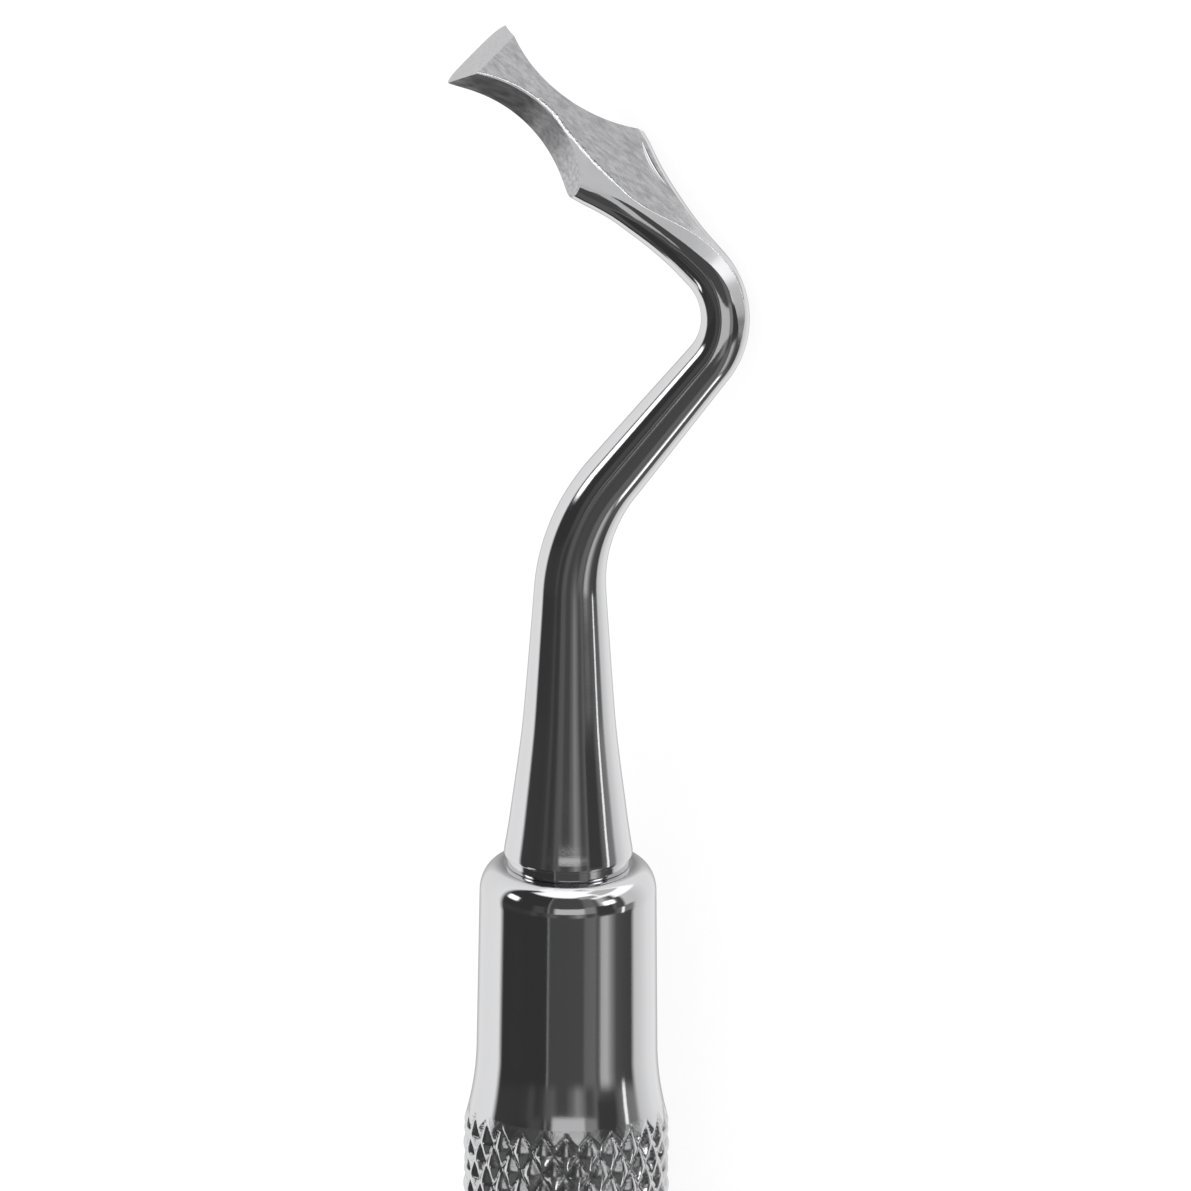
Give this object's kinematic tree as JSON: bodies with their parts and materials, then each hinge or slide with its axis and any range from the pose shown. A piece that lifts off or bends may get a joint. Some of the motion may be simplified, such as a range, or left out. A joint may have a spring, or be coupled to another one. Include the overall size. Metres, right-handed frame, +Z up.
{
  "type": "periodontal chisel",
  "caption": "Single-ended periodontal chisel: waisted, bevel-edged blade on a twice-bent polished shank, set in a diamond-knurled steel handle with a smooth ferrule.",
  "frame": {"origin": "on the floor, under the middle of the box round the instrument lying at rest", "axes": "+X along the handle towards the blade, +Z up, +Y towards the side the blade's cutting edge points to"},
  "size_m": [0.1394, 0.0142, 0.0102],
  "materials": {
    "working_end_steel": "mirror-polished stainless steel shank with ground satin faces on the blade",
    "handle_steel": "polished stainless steel ferrule and tail with a polished diamond-knurled grip"
  },
  "bodies": {
    "root": {"working_end": "working_end_steel", "handle": "handle_steel"}
  },
  "joints": []
}
